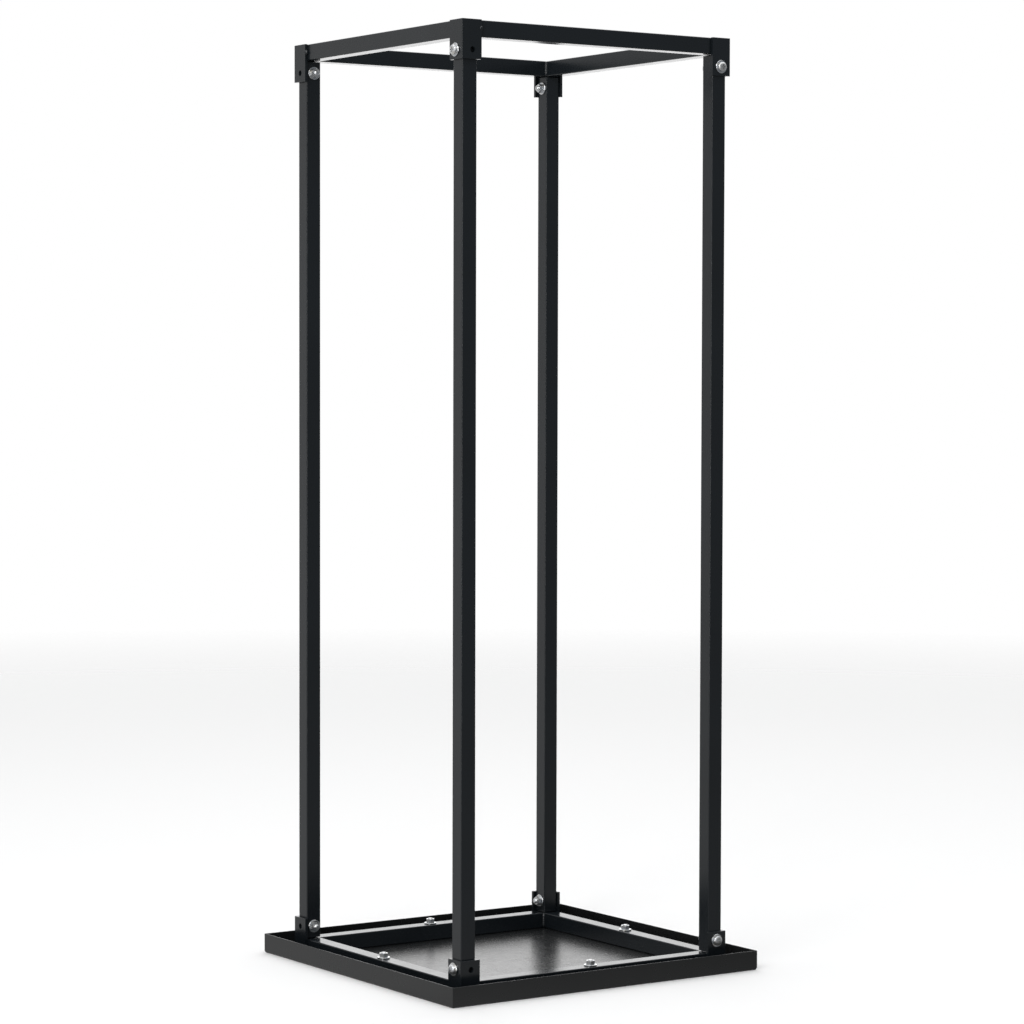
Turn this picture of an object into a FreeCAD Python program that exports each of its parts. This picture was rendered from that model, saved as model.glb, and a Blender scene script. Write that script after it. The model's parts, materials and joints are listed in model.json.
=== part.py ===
import FreeCAD, Part
import math
import os

# A tall open log rack: a folded sheet-steel base tray, a square tube frame lying in it, four
# square tube posts and a matching frame on top.  Brackets cut from rolled steel angle are welded
# outside the frames' corners and hold the posts, with one M6 screw through each post end.
# Lengths are in millimetres.  +X runs right along the front, +Y to the rear, +Z up, and the
# origin is on the floor under the middle of the rack.

# Overall
HEIGHT = 1150.0
TRAY_WIDTH = 450.0
TRAY_DEPTH = 441.0
FRAME_WIDTH = 386.0
FRAME_DEPTH = 380.0

# Base tray, folded from one sheet
TRAY_WALL_HEIGHT = 24.0
TRAY_SHEET = 1.2
TRAY_FOLD_RADIUS = 1.5
TRAY_RIM_RADIUS = 0.5
CORNER_RELIEF = 1.9

# Square tube of the posts and rails
TUBE = 20.0
TUBE_WALL = 1.0
TUBE_CORNER = 1.3
MITRE_TRIM = 1.6           # ground off each mitred corner, to clear the root of the bracket's angle

# Angle brackets: both legs are alike, and their ends stand just past the rails in height
BRACKET_LEG = 27.0
BRACKET_PLATE = 3.5
BRACKET_HEIGHT = 46.5
BRACKET_EDGE = 0.9
BRACKET_ROOT = 1.2
BRACKET_BROKEN_EDGE = 0.35
BRACKET_PAST_RAIL = 0.3
HOLE_FROM_BRACKET_END = 11.0

# A post is pulled against one leg of its bracket, and has this much room at the other leg and
# at each end
POST_SLACK = 1.0
POST_END_GAP = 1.0

# M6 fasteners
THREAD_RADIUS = 3.0
THREAD_PITCH = 1.0
THREAD_DEPTH = 0.5
THREAD_LENGTH = 16.0
SCREW_LENGTH = 35.0
SHANK_CHAMFER = 0.6
HEAD_RADIUS = 6.0
HEAD_HEIGHT = 4.6
HEAD_EDGE = 1.4
RECESS_SPAN = 6.6
RECESS_WIDTH = 1.3
RECESS_DEPTH = 2.8
CLEARANCE_RADIUS = 3.5
WASHER_RADIUS = 8.0
WASHER_BORE_RADIUS = 3.2
WASHER_THICKNESS = 1.6
WASHER_EDGE = 0.25
NUT_FLATS = 10.0
NUT_HEIGHT = 5.0
NUT_BORE_RADIUS = 3.05
NUT_CHAMFER_ANGLE = 30.0

# Studs welded to the tray floor that hold the base frame down, one at the middle of each rail
STUD_LENGTH = 27.8
STUD_WELD_RADIUS = 4.5
STUD_WELD_HEIGHT = 0.3

# Places worked out from the above
BASE_Z = TRAY_SHEET
BASE_RAIL_Z = BASE_Z + BRACKET_PAST_RAIL
TOP_RAIL_Z = HEIGHT - BRACKET_PAST_RAIL - TUBE
POST_BOTTOM = BASE_RAIL_Z + TUBE + POST_END_GAP
POST_TOP = TOP_RAIL_Z - POST_END_GAP
HOLE_UP_BRACKET = BRACKET_HEIGHT - HOLE_FROM_BRACKET_END
BASE_SCREW_Z = BASE_Z + HOLE_UP_BRACKET
TOP_SCREW_Z = HEIGHT - HOLE_UP_BRACKET
POST_CENTRE = POST_SLACK + TUBE / 2

# Corner names, with the signs of x and y and the turn that carries the front left corner there
CORNERS = {
    "front_left": (-1, -1, 0),
    "front_right": (1, -1, 90),
    "back_right": (1, 1, 180),
    "back_left": (-1, 1, 270),
}
# Side names, with the turn that carries the front side there
SIDES = {"front": 0, "right": 90, "back": 180, "left": 270}

UP = FreeCAD.Vector(0, 0, 1)
ALONG_X = FreeCAD.Vector(1, 0, 0)
ALONG_Y = FreeCAD.Vector(0, 1, 0)
ORIGIN = FreeCAD.Vector(0, 0, 0)


def vec(x, y, z=0.0):
    return FreeCAD.Vector(x, y, z)


def prism(points, bottom, height):
    """A solid that stands on a flat outline of (x, y) points."""
    corners = [vec(x, y, bottom) for x, y in points]
    outline = Part.makePolygon(corners + corners[:1])
    return Part.Face(outline).extrude(UP * height)


def turned(profile):
    """A solid of revolution about Z from a closed outline of (radius, height) points."""
    corners = [vec(r, 0, z) for r, z in profile]
    outline = Part.makePolygon(corners + corners[:1])
    return Part.Face(outline).revolve(ORIGIN, UP, 360)


def upright_edges(shape):
    """The straight edges of a shape that run along Z."""
    straight = [e for e in shape.Edges if isinstance(e.Curve, Part.Line)]
    return [e for e in straight if abs(e.tangentAt(e.FirstParameter).z) > 0.99]


def rounded_bar(size, corner, length):
    """A square bar on the Z axis with rounded long edges."""
    bar = Part.makeBox(size, size, length, vec(-size / 2, -size / 2))
    return bar.makeFillet(corner, upright_edges(bar))


def square_tube(length):
    """Welded square tube standing on the Z axis."""
    bore = rounded_bar(TUBE - 2 * TUBE_WALL, TUBE_CORNER - TUBE_WALL, length)
    return rounded_bar(TUBE, TUBE_CORNER, length).cut(bore)


def at_corner(shape, corner):
    """Move a shape from the front left corner's own frame to a corner of the rack.

    In that frame the origin is where the outer faces of the two rails would meet."""
    x_sign, y_sign, turn = CORNERS[corner]
    placed = shape.copy()
    placed.rotate(ORIGIN, UP, turn)
    placed.translate(vec(x_sign * FRAME_WIDTH / 2, y_sign * FRAME_DEPTH / 2))
    return placed


def at_side(shape, side):
    """Turn a shape made for the front of the rack round to one of its sides."""
    placed = shape.copy()
    placed.rotate(ORIGIN, UP, SIDES[side])
    return placed


def side_length(side):
    return FRAME_WIDTH if side in ("front", "back") else FRAME_DEPTH


def side_offset(side):
    """How far the rails' outer faces on this side stand from the middle of the rack."""
    return (FRAME_DEPTH if side in ("front", "back") else FRAME_WIDTH) / 2


def base_tray():
    """The folded tray: a floor and four walls, with a relief notch at each folded corner."""
    outer = Part.makeBox(TRAY_WIDTH, TRAY_DEPTH, TRAY_WALL_HEIGHT,
                         vec(-TRAY_WIDTH / 2, -TRAY_DEPTH / 2))
    inner = Part.makeBox(TRAY_WIDTH - 2 * TRAY_SHEET, TRAY_DEPTH - 2 * TRAY_SHEET,
                         TRAY_WALL_HEIGHT,
                         vec(TRAY_SHEET - TRAY_WIDTH / 2, TRAY_SHEET - TRAY_DEPTH / 2, TRAY_SHEET))
    outer = outer.makeFillet(TRAY_FOLD_RADIUS, edges_at(outer, 0.0))
    inner = inner.makeFillet(TRAY_FOLD_RADIUS - TRAY_SHEET, edges_at(inner, TRAY_SHEET))
    tray = outer.cut(inner)
    tray = tray.makeFillet(TRAY_RIM_RADIUS, edges_at(tray, TRAY_WALL_HEIGHT))
    for x_sign, y_sign, _ in CORNERS.values():
        corner = vec(x_sign * TRAY_WIDTH / 2, y_sign * TRAY_DEPTH / 2)
        tray = tray.cut(Part.makeSphere(CORNER_RELIEF, corner))
    return tray


def edges_at(shape, level):
    """The edges of a shape that lie in the plane z = level."""
    box_of = [(e, e.BoundBox) for e in shape.Edges]
    tiny = 1e-6
    return [e for e, box in box_of if abs(box.ZMin - level) < tiny and abs(box.ZMax - level) < tiny]


def rail(side, bottom):
    """One tube of a frame, its ends mitred to meet its neighbours."""
    half = side_length(side) / 2
    front = -side_offset(side)
    trim = MITRE_TRIM
    tube = square_tube(2 * half)
    tube.rotate(ORIGIN, ALONG_Y, 90)
    tube.translate(vec(-half, front + TUBE / 2, bottom + TUBE / 2))
    right_end = [(half - trim, front), (half - trim / 2, front + trim / 2), (half - TUBE, front + TUBE)]
    left_end = [(-x, y) for x, y in reversed(right_end)]
    return at_side(tube.common(prism(right_end + left_end, bottom, TUBE)), side)


def base_rail(side):
    """A rail of the lower frame, drilled in the middle for its stud."""
    plain = rail(side, BASE_RAIL_Z)
    drill = Part.makeCylinder(CLEARANCE_RADIUS, TUBE, stud_place(side, BASE_RAIL_Z))
    return plain.cut(drill)


def stud_place(side, level):
    """The point on a stud's axis at a level."""
    x, y = {"front": (0, -1), "right": (1, 0), "back": (0, 1), "left": (-1, 0)}[side]
    reach = side_offset(side) - TUBE / 2
    return vec(x * reach, y * reach, level)


def bracket(bottom, hole_level):
    """An angle bracket in the corner's own frame, with one hole in each leg."""
    far = BRACKET_LEG - BRACKET_PLATE
    outline = [(-BRACKET_PLATE, -BRACKET_PLATE), (far, -BRACKET_PLATE), (far, 0),
               (0, 0), (0, far), (-BRACKET_PLATE, far)]
    plate = prism(outline, bottom, BRACKET_HEIGHT)
    plate = plate.makeFillet(BRACKET_EDGE, uprights_at(plate, -BRACKET_PLATE))
    plate = plate.makeFillet(BRACKET_ROOT, uprights_at(plate, 0.0))
    rims = edges_at(plate, bottom) + edges_at(plate, bottom + BRACKET_HEIGHT)
    plate = plate.makeFillet(BRACKET_BROKEN_EDGE, rims)
    for axis in (ALONG_X, ALONG_Y):
        across = ALONG_Y if axis is ALONG_X else ALONG_X
        start = across * POST_CENTRE - axis * (2 * BRACKET_PLATE) + UP * hole_level
        plate = plate.cut(Part.makeCylinder(CLEARANCE_RADIUS, 3 * BRACKET_PLATE, start, axis))
    return plate


def uprights_at(shape, place):
    """The upright edge of a shape that stands at x = y = place."""
    near = 1e-3
    return [e for e in upright_edges(shape)
            if abs(e.Vertexes[0].X - place) < near and abs(e.Vertexes[0].Y - place) < near]


def post():
    """A post in the corner's own frame, drilled through at both ends for its screws."""
    tube = square_tube(POST_TOP - POST_BOTTOM)
    tube.translate(vec(TUBE / 2, POST_CENTRE, POST_BOTTOM))
    for level in (BASE_SCREW_Z, TOP_SCREW_Z):
        tube = tube.cut(Part.makeCylinder(CLEARANCE_RADIUS, TUBE, vec(0, POST_CENTRE, level), ALONG_X))
    return tube


def thread_outline(end, length):
    """(radius, height) points down a thread whose free end is at z = end."""
    points = [(THREAD_RADIUS - SHANK_CHAMFER, end), (THREAD_RADIUS, end - SHANK_CHAMFER)]
    for turn in range(int(length / THREAD_PITCH)):
        crest = end - SHANK_CHAMFER - turn * THREAD_PITCH
        points.append((THREAD_RADIUS - THREAD_DEPTH, crest - THREAD_PITCH / 2))
        points.append((THREAD_RADIUS, crest - THREAD_PITCH))
    return points


def pan_screw():
    """A pan head screw: the head's seat is at z = 0, the head below it and the thread above."""
    dome = []
    steps = 6
    for step in range(steps + 1):
        angle = math.radians(90 * step / steps)
        dome.append((HEAD_RADIUS * math.sin(angle),
                     -HEAD_EDGE - (HEAD_HEIGHT - HEAD_EDGE) * math.cos(angle)))
    shank = thread_outline(SCREW_LENGTH, THREAD_LENGTH)
    outline = dome + [(HEAD_RADIUS, 0), (THREAD_RADIUS, 0)] + shank[::-1] + [(0, SCREW_LENGTH)]
    screw = turned(outline)
    for turn in (0, 90):
        slot = Part.makeBox(RECESS_SPAN, RECESS_WIDTH, RECESS_DEPTH,
                            vec(-RECESS_SPAN / 2, -RECESS_WIDTH / 2, -HEAD_HEIGHT))
        slot.rotate(ORIGIN, UP, turn)
        screw = screw.cut(slot)
    return screw


def washer():
    """A flat washer on z = 0, with slightly broken edges."""
    inner, outer = WASHER_BORE_RADIUS, WASHER_RADIUS
    top, edge = WASHER_THICKNESS, WASHER_EDGE
    return turned([(inner, 0), (outer - edge, 0), (outer, edge), (outer, top - edge),
                   (outer - edge, top), (inner, top)])


def hex_nut():
    """A hexagon nut on z = 0, its corners chamfered on both faces."""
    across_corners = NUT_FLATS / math.cos(math.radians(30)) / 2
    hexagon = [(across_corners * math.cos(math.radians(60 * k)),
                across_corners * math.sin(math.radians(60 * k))) for k in range(6)]
    body = prism(hexagon, 0, NUT_HEIGHT)
    drop = (across_corners - NUT_FLATS / 2) * math.tan(math.radians(NUT_CHAMFER_ANGLE))
    face = NUT_FLATS / 2
    chamfers = turned([(0, 0), (face, 0), (across_corners, drop),
                       (across_corners, NUT_HEIGHT - drop), (face, NUT_HEIGHT), (0, NUT_HEIGHT)])
    bore = Part.makeCylinder(NUT_BORE_RADIUS, NUT_HEIGHT)
    return body.common(chamfers).cut(bore)


def lay_on_screw(shape, reach, level):
    """Turn a fastener made along +Z onto a screw's axis, in the corner's own frame.

    reach is the distance of its z = 0 from the outer face of the rails."""
    placed = shape.copy()
    placed.rotate(ORIGIN, ALONG_Y, 90)
    placed.translate(vec(reach, POST_CENTRE, level))
    return placed


def corner_fasteners(level):
    """The four fasteners of one post end: name and solid, in the corner's own frame."""
    outer_seat = -BRACKET_PLATE - WASHER_THICKNESS
    inner_seat = TUBE + WASHER_THICKNESS
    return {
        "screw": lay_on_screw(pan_screw(), outer_seat, level),
        "outer_washer": lay_on_screw(washer(), outer_seat, level),
        "inner_washer": lay_on_screw(washer(), TUBE, level),
        "nut": lay_on_screw(hex_nut(), inner_seat, level),
    }


def base_stud():
    """A stud on z = 0 with the flat collar of its weld round the foot."""
    thread = thread_outline(STUD_LENGTH, THREAD_LENGTH)
    outline = [(0, 0), (STUD_WELD_RADIUS, 0), (THREAD_RADIUS, STUD_WELD_HEIGHT)]
    return turned(outline + thread[::-1] + [(0, STUD_LENGTH)])


def on_studs(shape, level):
    """One copy of a shape on each stud's axis, as a group of separate solids."""
    copies = []
    for side in SIDES:
        placed = shape.copy()
        placed.translate(stud_place(side, level))
        copies.append(placed)
    return Part.makeCompound(copies)


def all_nodes():
    nodes = {"base_tray": base_tray()}
    for side in SIDES:
        nodes[f"base_rail_{side}"] = base_rail(side)
        nodes[f"top_rail_{side}"] = rail(side, TOP_RAIL_Z)
    ends = {"base": (BASE_Z, BASE_SCREW_Z), "top": (HEIGHT - BRACKET_HEIGHT, TOP_SCREW_Z)}
    for corner in CORNERS:
        nodes[f"post_{corner}"] = at_corner(post(), corner)
        for end, (bottom, level) in ends.items():
            nodes[f"{end}_bracket_{corner}"] = at_corner(bracket(bottom, level), corner)
            for name, solid in corner_fasteners(level).items():
                nodes[f"{end}_{name}_{corner}"] = at_corner(solid, corner)
    washer_z = BASE_RAIL_Z + TUBE
    nodes["base_studs"] = on_studs(base_stud(), TRAY_SHEET)
    nodes["base_stud_washers"] = on_studs(washer(), washer_z)
    nodes["base_stud_nuts"] = on_studs(hex_nut(), washer_z + WASHER_THICKNESS)
    return nodes


os.makedirs("parts", exist_ok=True)
for node, shape in all_nodes().items():
    if not shape.isValid():
        raise ValueError(f"{node} is not a valid solid")
    shape.exportStep(f"parts/{node}.step")
    print(f"{node:36s} {len(shape.Solids)} solid(s) {shape.Volume:10.0f} mm3")
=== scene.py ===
import json
import math

import bmesh
import bpy
from mathutils import Matrix, Vector, noise as value_noise

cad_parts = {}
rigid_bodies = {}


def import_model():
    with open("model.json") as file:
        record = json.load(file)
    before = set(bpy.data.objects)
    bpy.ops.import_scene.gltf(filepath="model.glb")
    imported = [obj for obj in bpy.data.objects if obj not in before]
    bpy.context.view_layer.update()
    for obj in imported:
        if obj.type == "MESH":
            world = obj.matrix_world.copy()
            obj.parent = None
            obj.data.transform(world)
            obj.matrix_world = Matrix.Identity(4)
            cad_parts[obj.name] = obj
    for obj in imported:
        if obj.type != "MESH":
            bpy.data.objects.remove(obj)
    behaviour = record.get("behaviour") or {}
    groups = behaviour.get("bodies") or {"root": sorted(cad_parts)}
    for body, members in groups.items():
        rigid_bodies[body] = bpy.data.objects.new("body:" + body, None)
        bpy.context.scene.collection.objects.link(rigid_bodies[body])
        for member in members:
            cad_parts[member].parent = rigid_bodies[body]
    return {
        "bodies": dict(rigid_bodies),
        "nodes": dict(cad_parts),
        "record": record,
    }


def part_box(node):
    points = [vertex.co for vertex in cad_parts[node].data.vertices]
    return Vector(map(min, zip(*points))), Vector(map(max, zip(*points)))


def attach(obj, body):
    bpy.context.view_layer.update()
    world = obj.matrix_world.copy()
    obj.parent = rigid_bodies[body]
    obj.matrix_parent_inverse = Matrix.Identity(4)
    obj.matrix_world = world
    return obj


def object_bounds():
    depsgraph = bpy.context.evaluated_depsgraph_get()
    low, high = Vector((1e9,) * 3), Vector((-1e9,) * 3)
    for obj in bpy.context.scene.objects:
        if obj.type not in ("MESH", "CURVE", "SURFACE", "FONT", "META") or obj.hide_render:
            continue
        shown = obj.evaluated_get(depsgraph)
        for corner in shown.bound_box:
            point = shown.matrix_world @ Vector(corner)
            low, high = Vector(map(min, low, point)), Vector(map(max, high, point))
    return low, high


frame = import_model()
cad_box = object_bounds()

# A tall black steel log rack: a folded tray, two square tube frames and four posts, held by zinc
# plated screws in angle brackets.  The frame's solids are shown as they are.  This script adds the
# welds, the materials, the floor, the lights and the camera.  Lengths are in metres.

BODY = list(frame["bodies"])[0]
MM = 0.001

# Each corner's turn from the front left one, and the outer faces that it stands on
CORNERS = {
    "front_left": (0, "left", "front"),
    "front_right": (90, "right", "front"),
    "back_right": (180, "right", "back"),
    "back_left": (270, "left", "back"),
}

# Camera: its place, and where it looks
CAMERA_PLACE = (-2.25323, -3.34401, 0.73303)
CAMERA_YAW = -34.036
CAMERA_PITCH = 2.383
CAMERA_ROLL = -0.139
CAMERA_LENS = 113.41
SENSOR = 36.0
CLIP_NEAR, CLIP_FAR = 0.05, 60.0

# Beads: width, height and ripple length
MITRE_BEAD = (5.4 * MM, 1.5 * MM, 2.2 * MM)
SEAM_BEAD = (3.4 * MM, 0.22 * MM, 1.6 * MM)
TRAY_BEAD = (2.6 * MM, 0.8 * MM, 1.3 * MM)

# How a bead is shaped: its section's sides, and shares of its own sizes
BEAD_AROUND = 12
BEAD_UNEVEN = 0.16
BEAD_GRAIN = 900.0
BEAD_WAVE = 0.06
BEAD_LEAN = 0.35
BEAD_SUNK = 0.25

# Where the beads lie: from tube faces, tube ends and the tray's walls
BEAD_FROM_EDGE = 0.6 * MM
MITRE_BEAD_OUT = 0.55 * MM
SEAM_FROM_CORNER = 2.2 * MM
SEAM_FROM_NOOK = 1 * MM
TRAY_BEAD_OUT = 0.25 * MM
TRAY_BEAD_FROM_FLOOR = 0.5 * MM

# Tack welds: past the bracket's leg, out from the rail's face, half sizes, and how they differ
TACK_PAST_LEG = 0.2 * MM
TACK_OUT = 2.1 * MM
TACK_AXES = [Vector((2.6 * MM, 0.5 * MM, 0)), Vector((0.4 * MM, 2.2 * MM, 0)), Vector((0, 0, 3.1 * MM))]
TACK_UNEVEN = 0.12
TACK_SEED_STEP = 3.1

# Floor disc: its radius, its gap under the rack, and where it fades out, in radii
FLOOR_RADIUS = 6.0
FLOOR_GAP = 0.0002
FLOOR_FADE = [(0.10, 0.0), (0.9, 1.0)]
FLOOR_GREY = (0.9, 0.9, 0.9, 1.0)

# Glows: how bright each is against how nearly a direction points along its way
FLOOR_GLOW = [(-0.45, 0.26), (0.1, 0.56)]
SIDES_GLOW = [(-0.9, (0.19, 0.205, 0.22)), (-0.2, 0.25), (0.55, 0.57), (1.0, 0.57)]
BEHIND_GLOW = [(0.55, 0.0), (0.92, 1.25)]

# Softboxes: place, aim, size and power in watts
SOFTBOXES = {
    "key_softbox": ((-3.0, -2.0, 2.9), (0, 0, 0.6), (2.2, 1.6), 55),
    "strip_softbox": ((-3.1, -2.1, 0.9), (0, 0, 0.6), (0.6, 1.9), 20),
    "top_softbox": ((0.6, 0.4, 3.6), (0, 0, 0), (5.2, 5.2), 118),
}


# ---------------------------------------------------------------- node helpers

def new_material(name):
    """A material with an empty node tree, and its tree."""
    material = bpy.data.materials.new(name)
    material.use_nodes = True
    material.node_tree.nodes.clear()
    return material, material.node_tree


def noise(tree, place, scale, detail=3.0, roughness=0.5):
    node = tree.nodes.new("ShaderNodeTexNoise")
    node.inputs["Scale"].default_value = scale
    node.inputs["Detail"].default_value = detail
    node.inputs["Roughness"].default_value = roughness
    tree.links.new(place, node.inputs["Vector"])
    return node.outputs["Fac"]


def ramp(tree, factor, stops):
    """A colour ramp of (position, grey or colour) stops."""
    node = tree.nodes.new("ShaderNodeValToRGB")
    elements = node.color_ramp.elements
    while len(elements) < len(stops):
        elements.new(0.5)
    for element, (position, colour) in zip(elements, stops):
        element.position = position
        if isinstance(colour, (int, float)):
            colour = (colour, colour, colour)
        element.color = (*colour, 1.0)
    tree.links.new(factor, node.inputs["Fac"])
    return node.outputs["Color"]


def maths(tree, operation, first, second):
    node = tree.nodes.new("ShaderNodeMath")
    node.operation = operation
    for socket, value in zip(node.inputs, (first, second)):
        if isinstance(value, (int, float)):
            socket.default_value = value
        else:
            tree.links.new(value, socket)
    return node.outputs["Value"]


def bump(tree, height, strength, distance, below=None):
    node = tree.nodes.new("ShaderNodeBump")
    node.inputs["Strength"].default_value = strength
    node.inputs["Distance"].default_value = distance
    tree.links.new(height, node.inputs["Height"])
    if below is not None:
        tree.links.new(below, node.inputs["Normal"])
    return node.outputs["Normal"]


def surface(tree, **values):
    """A Principled shader joined to the output.  A value that is a socket is linked."""
    shader = tree.nodes.new("ShaderNodeBsdfPrincipled")
    out = tree.nodes.new("ShaderNodeOutputMaterial")
    tree.links.new(shader.outputs["BSDF"], out.inputs["Surface"])
    for name, value in values.items():
        socket = shader.inputs[name.replace("_", " ")]
        if isinstance(value, bpy.types.NodeSocket):
            tree.links.new(value, socket)
        else:
            socket.default_value = value


def object_place(tree):
    return tree.nodes.new("ShaderNodeTexCoord").outputs["Object"]


# ---------------------------------------------------------------- materials

def powder_coat(name, tint, gloss):
    """Semi-gloss black powder coat: orange peel, faint cloudiness and a little dust."""
    material, tree = new_material(name)
    place = object_place(tree)
    cloud = noise(tree, place, 7.0, 4.0)
    dust = noise(tree, place, 55.0, 6.0, 0.65)
    speck = noise(tree, place, 1500.0, 2.0)
    peel = noise(tree, place, 380.0, 2.0, 0.45)
    darker = tuple(0.86 * c for c in tint)
    lighter = tuple(1.18 * c for c in tint)
    colour = ramp(tree, cloud, [(0.3, darker), (0.7, lighter)])
    sheen = ramp(tree, dust, [(0.35, gloss - 0.02), (0.7, gloss + 0.03)])
    waves = bump(tree, peel, 0.14, 0.0003)
    grain = bump(tree, speck, 0.07, 0.0001, waves)
    surface(tree, Base_Color=colour, Roughness=sheen, Normal=grain, IOR=1.5,
            Specular_IOR_Level=0.5)
    return material


def zinc_plate(name, gloss):
    """Bright zinc plating: pale metal with a faint blue and straw cast and fine scratches."""
    material, tree = new_material(name)
    place = object_place(tree)
    cast = noise(tree, place, 260.0, 3.0)
    fine = noise(tree, place, 2600.0, 3.0, 0.6)
    colour = ramp(tree, cast, [(0.3, (0.58, 0.61, 0.65)), (0.5, (0.70, 0.71, 0.72)),
                               (0.72, (0.74, 0.72, 0.67))])
    sheen = ramp(tree, fine, [(0.3, gloss - 0.08), (0.75, gloss + 0.10)])
    surface(tree, Base_Color=colour, Metallic=1.0, Roughness=sheen,
            Normal=bump(tree, fine, 0.18, 0.0001))
    return material


FINISHES = {
    "frame_coat": powder_coat("frame_powder_coat", (0.0085, 0.0112, 0.0138), 0.22),
    "tray_coat": powder_coat("tray_powder_coat", (0.0105, 0.0112, 0.0115), 0.26),
    "zinc_plate": zinc_plate("forged_zinc_plate", 0.38),
}
WASHER_FINISH = zinc_plate("stamped_zinc_plate", 0.20)


# ---------------------------------------------------------------- the frame's own solids

def dress_frame():
    slots = {part["node"]: part["material_slot"] for part in frame["record"]["subparts"]}
    for name, node in frame["nodes"].items():
        for slot in node.material_slots:
            slot.material = WASHER_FINISH if "washer" in name else FINISHES[slots[name]]


dress_frame()


# ---------------------------------------------------------------- welds

def bead(shape, path, out, width, height, ripple):
    """A closed, rippled bead along a straight path of (start, end), standing up along out.

    It has a round crown and a flat underside, tapers off at both ends, and its ripples lean
    along the path as a weld's do."""
    start, end = path
    along = (end - start).normalized()
    side = along.cross(out).normalized()
    out = side.cross(along).normalized()
    length = (end - start).length
    rings = max(10, round(length / ripple) * 4)
    loops = []
    for i in range(rings + 1):
        t = i / rings
        spot = start + along * (length * t)
        uneven = 1 + BEAD_UNEVEN * value_noise.noise(spot * BEAD_GRAIN)
        taper = math.sin(math.pi * min(1.0, 0.12 + min(t, 1 - t) * length / width) / 2)
        wave = 1 + BEAD_WAVE * math.sin(2 * math.pi * length * t / ripple)
        half = width / 2 * taper * uneven * (0.7 + 0.3 * wave)
        rise = height * taper * uneven * wave
        loop = []
        for k in range(BEAD_AROUND):
            turn = 2 * math.pi * k / BEAD_AROUND
            up = math.sin(turn)
            lean = along * (-BEAD_LEAN * ripple * max(up, 0.0))
            lift = rise * up if up > 0 else BEAD_SUNK * height * up
            loop.append(shape.verts.new(spot + lean + side * (half * math.cos(turn)) + out * lift))
        loops.append(loop)
    for low, high in zip(loops, loops[1:]):
        for k in range(BEAD_AROUND):
            n = (k + 1) % BEAD_AROUND
            shape.faces.new((low[k], low[n], high[n], high[k]))
    shape.faces.new(loops[0][::-1])
    shape.faces.new(loops[-1])


def tack(shape, centre, axes, seed):
    """A closed tack weld: an uneven blob with half sizes along three axes."""
    rings, around = 9, 16
    grid = []
    for i in range(1, rings):
        polar = math.pi * i / rings
        row = []
        for k in range(around):
            turn = 2 * math.pi * k / around
            spot = Vector((math.sin(polar) * math.cos(turn), math.sin(polar) * math.sin(turn),
                           math.cos(polar)))
            uneven = 1 + TACK_UNEVEN * value_noise.noise(spot * 1.7 + Vector((seed, 0, 0)))
            offset = sum((axes[n] * (spot[n] * uneven) for n in range(3)), Vector())
            row.append(shape.verts.new(centre + offset))
        grid.append(row)
    top = shape.verts.new(centre + axes[2])
    foot = shape.verts.new(centre - axes[2])
    for k in range(around):
        n = (k + 1) % around
        shape.faces.new((top, grid[0][k], grid[0][n]))
        shape.faces.new((foot, grid[-1][n], grid[-1][k]))
        for low, high in zip(grid, grid[1:]):
            shape.faces.new((low[k], high[k], high[n], low[n]))


def finished(name, shape, slot, place):
    """Turn a built shape into a piece of the rack, laid at a place, with its slot's finish."""
    bmesh.ops.recalc_face_normals(shape, faces=shape.faces)
    mesh = bpy.data.meshes.new(name)
    shape.to_mesh(mesh)
    shape.free()
    mesh.transform(place)
    for face in mesh.polygons:
        face.use_smooth = True
    mesh.materials.append(FINISHES[slot])
    piece = bpy.data.objects.new(name, mesh)
    bpy.context.collection.objects.link(piece)
    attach(piece, BODY)


def corner_place(corner):
    """From the front left corner's own frame, where the rails' outer faces meet, to a corner."""
    turn, x_side, y_side = CORNERS[corner]
    faces = {
        "left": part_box("top_rail_left")[0][0],
        "right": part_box("top_rail_right")[1][0],
        "front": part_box("top_rail_front")[0][1],
        "back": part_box("top_rail_back")[1][1],
    }
    corner_point = Matrix.Translation((faces[x_side], faces[y_side], 0))
    return corner_point @ Matrix.Rotation(math.radians(turn), 4, "Z")


def frame_welds():
    """The welds of both frames: inside each mitre, along it, and a tack at each bracket."""
    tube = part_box("top_rail_front")[1][2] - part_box("top_rail_front")[0][2]
    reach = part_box("top_bracket_front_left")[1][0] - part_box("top_rail_left")[0][0]
    for end in ("base", "top"):
        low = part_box(f"{end}_rail_front")[0][2]
        high = low + tube
        middle = (low + high) / 2
        for index, corner in enumerate(CORNERS):
            place = corner_place(corner)
            shape = bmesh.new()
            nook = MITRE_BEAD_OUT + tube
            path = (Vector((nook, nook, low + BEAD_FROM_EDGE)),
                    Vector((nook, nook, high - BEAD_FROM_EDGE)))
            bead(shape, path, Vector((1, 1, 0)), *MITRE_BEAD)
            finished(f"{end}_mitre_weld_{corner}", shape, "frame_coat", place)
            shape = bmesh.new()
            near = SEAM_FROM_CORNER
            far = tube - SEAM_FROM_NOOK
            path = (Vector((near, near, high)), Vector((far, far, high)))
            bead(shape, path, Vector((0, 0, 1)), *SEAM_BEAD)
            if end == "top":
                path = (Vector((far, far, low)), Vector((near, near, low)))
                bead(shape, path, Vector((0, 0, -1)), *SEAM_BEAD)
            finished(f"{end}_mitre_seam_{corner}", shape, "frame_coat", place)
            shape = bmesh.new()
            spot = Vector((reach + TACK_PAST_LEG, -TACK_OUT, middle))
            tack(shape, spot, TACK_AXES, TACK_SEED_STEP * index)
            finished(f"{end}_bracket_weld_{corner}", shape, "frame_coat", place)


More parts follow.
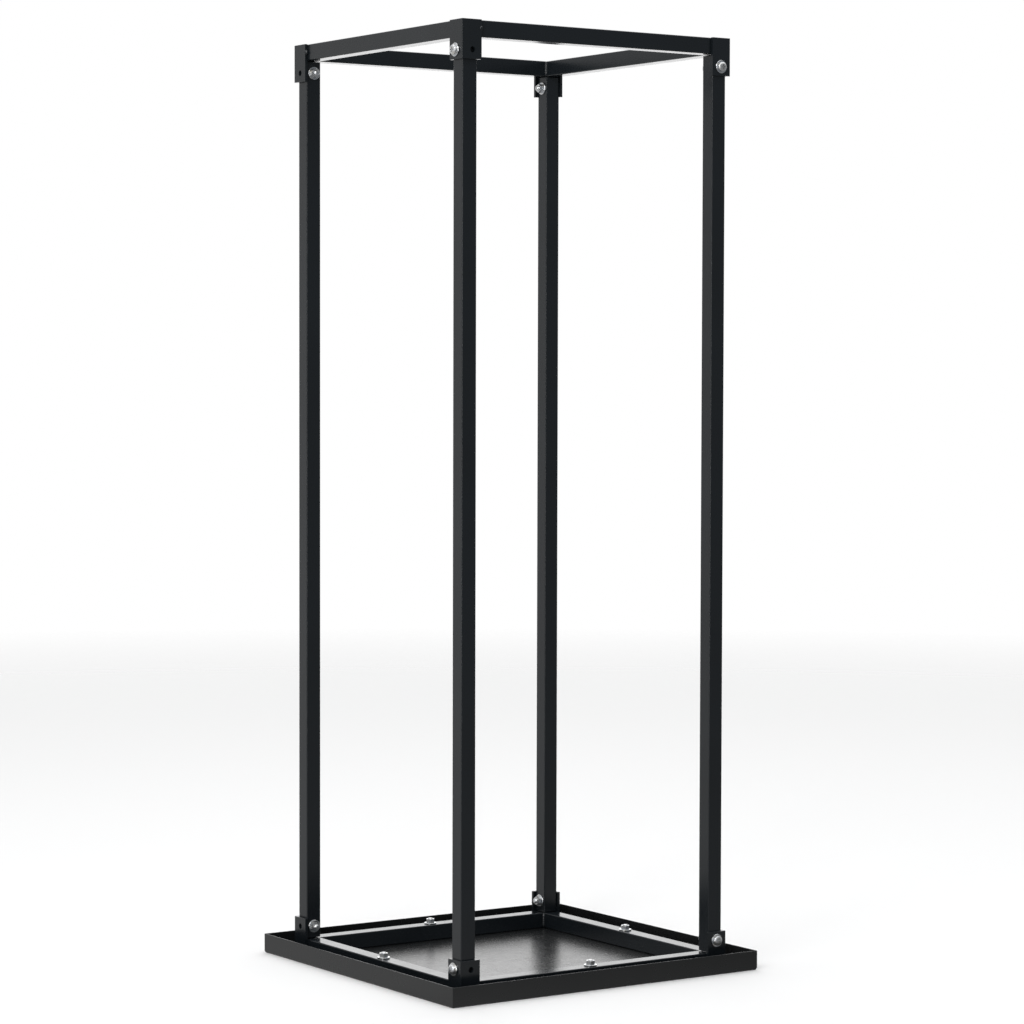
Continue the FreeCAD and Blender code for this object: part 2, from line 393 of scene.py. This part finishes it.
def tray_welds():
    """A bead up the inside of each corner of the tray."""
    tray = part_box("base_tray")
    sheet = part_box("base_bracket_front_left")[0][2] - tray[0][2]
    for corner, (_, x_side, y_side) in CORNERS.items():
        x_sign = 1 if x_side == "left" else -1
        y_sign = 1 if y_side == "front" else -1
        x = (tray[0][0] if x_sign > 0 else tray[1][0]) + x_sign * sheet
        y = (tray[0][1] if y_sign > 0 else tray[1][1]) + y_sign * sheet
        x += x_sign * TRAY_BEAD_OUT
        y += y_sign * TRAY_BEAD_OUT
        shape = bmesh.new()
        path = (Vector((x, y, tray[0][2] + sheet + TRAY_BEAD_FROM_FLOOR)),
                Vector((x, y, tray[1][2] - BEAD_FROM_EDGE)))
        bead(shape, path, Vector((x_sign, y_sign, 0)), *TRAY_BEAD)
        finished(f"tray_corner_weld_{corner}", shape, "tray_coat", Matrix())


frame_welds()
tray_welds()


# ---------------------------------------------------------------- stage, lights and camera

# Ways that the camera's sight lines are thrown by the rack's left faces and by its tops.  Its front
# faces throw them the opposite way to its left faces.
FROM_LEFT_FACES = (-0.559, 0.829, 0.0)
FROM_TOPS = (0.559, 0.829, 0.0)


def lobe(tree, place, way, stops):
    """A ramp over how nearly a direction or place points one way, from -1 to 1."""
    along = tree.nodes.new("ShaderNodeVectorMath")
    along.operation = "DOT_PRODUCT"
    tree.links.new(place, along.inputs[0])
    along.inputs[1].default_value = way
    spread = maths(tree, "MULTIPLY_ADD", along.outputs["Value"], 0.5)
    spread.node.inputs[2].default_value = 0.5
    return ramp(tree, spread, [((at + 1) / 2, value) for at, value in stops])


def floor():
    """A pale disc that fades out into the backdrop, so that it has no horizon.

    The lit disc is what the camera sees.  What the rack mirrors is a softer glow."""
    mesh = bpy.data.meshes.new("floor")
    shape = bmesh.new()
    bmesh.ops.create_circle(shape, cap_ends=True, segments=96, radius=FLOOR_RADIUS)
    shape.to_mesh(mesh)
    shape.free()
    disc = bpy.data.objects.new("floor", mesh)
    bpy.context.collection.objects.link(disc)
    disc.location.z = cad_box[0][2] - FLOOR_GAP
    material, tree = new_material("pale_floor")
    out = tree.nodes.new("ShaderNodeOutputMaterial")
    matt = tree.nodes.new("ShaderNodeBsdfDiffuse")
    matt.inputs["Color"].default_value = FLOOR_GREY
    shine = tree.nodes.new("ShaderNodeEmission")
    place = object_place(tree)
    tree.links.new(lobe(tree, place, FROM_LEFT_FACES, FLOOR_GLOW), shine.inputs["Color"])
    seen = tree.nodes.new("ShaderNodeMixShader")
    tree.links.new(tree.nodes.new("ShaderNodeLightPath").outputs["Is Camera Ray"], seen.inputs["Fac"])
    tree.links.new(shine.outputs["Emission"], seen.inputs[1])
    tree.links.new(matt.outputs["BSDF"], seen.inputs[2])
    clear = tree.nodes.new("ShaderNodeBsdfTransparent")
    mix = tree.nodes.new("ShaderNodeMixShader")
    length = tree.nodes.new("ShaderNodeVectorMath")
    length.operation = "LENGTH"
    tree.links.new(place, length.inputs[0])
    far = ramp(tree, maths(tree, "DIVIDE", length.outputs["Value"], FLOOR_RADIUS), FLOOR_FADE)
    tree.links.new(far, mix.inputs["Fac"])
    tree.links.new(seen.outputs["Shader"], mix.inputs[1])
    tree.links.new(clear.outputs["BSDF"], mix.inputs[2])
    tree.links.new(mix.outputs["Shader"], out.inputs["Surface"])
    mesh.materials.append(material)


def softbox(name, place, aim, size, power):
    light = bpy.data.lights.new(name, "AREA")
    light.shape = "RECTANGLE"
    light.size, light.size_y = size
    light.energy = power
    lamp = bpy.data.objects.new(name, light)
    bpy.context.collection.objects.link(lamp)
    lamp.location = place
    lamp.rotation_euler = (Vector(aim) - Vector(place)).to_track_quat("-Z", "Y").to_euler()


def studio():
    """A white backdrop, whose glow on the rack is uneven, and three softboxes."""
    world = bpy.data.worlds.new("studio")
    world.use_nodes = True
    tree = world.node_tree
    tree.nodes.clear()
    place = tree.nodes.new("ShaderNodeTexCoord").outputs["Generated"]
    sides = lobe(tree, place, FROM_LEFT_FACES, SIDES_GLOW)
    behind = lobe(tree, place, FROM_TOPS, BEHIND_GLOW)
    lit = tree.nodes.new("ShaderNodeBackground")
    both = tree.nodes.new("ShaderNodeVectorMath")
    both.operation = "ADD"
    for socket, part in zip(both.inputs, (sides, behind)):
        tree.links.new(part, socket)
    tree.links.new(both.outputs["Vector"], lit.inputs["Color"])
    seen = tree.nodes.new("ShaderNodeBackground")
    seen.inputs["Color"].default_value = (1.0, 1.0, 1.0, 1.0)
    mix = tree.nodes.new("ShaderNodeMixShader")
    tree.links.new(tree.nodes.new("ShaderNodeLightPath").outputs["Is Camera Ray"], mix.inputs["Fac"])
    tree.links.new(lit.outputs["Background"], mix.inputs[1])
    tree.links.new(seen.outputs["Background"], mix.inputs[2])
    out = tree.nodes.new("ShaderNodeOutputWorld")
    tree.links.new(mix.outputs["Shader"], out.inputs["Surface"])
    bpy.context.scene.world = world
    for name, (spot, aim, size, power) in SOFTBOXES.items():
        softbox(name, spot, aim, size, power)
    bpy.context.scene.view_settings.view_transform = "Standard"


def camera():
    data = bpy.data.cameras.new("camera")
    data.sensor_width = SENSOR
    data.lens = CAMERA_LENS
    data.clip_start, data.clip_end = CLIP_NEAR, CLIP_FAR
    eye = bpy.data.objects.new("camera", data)
    bpy.context.collection.objects.link(eye)
    turn = Matrix.Rotation(math.radians(CAMERA_YAW), 4, "Z")
    tilt = Matrix.Rotation(math.radians(90 - CAMERA_PITCH), 4, "X")
    roll = Matrix.Rotation(math.radians(-CAMERA_ROLL), 4, "Z")
    eye.matrix_world = Matrix.Translation(CAMERA_PLACE) @ turn @ tilt @ roll
    bpy.context.scene.camera = eye


floor()
studio()
camera()
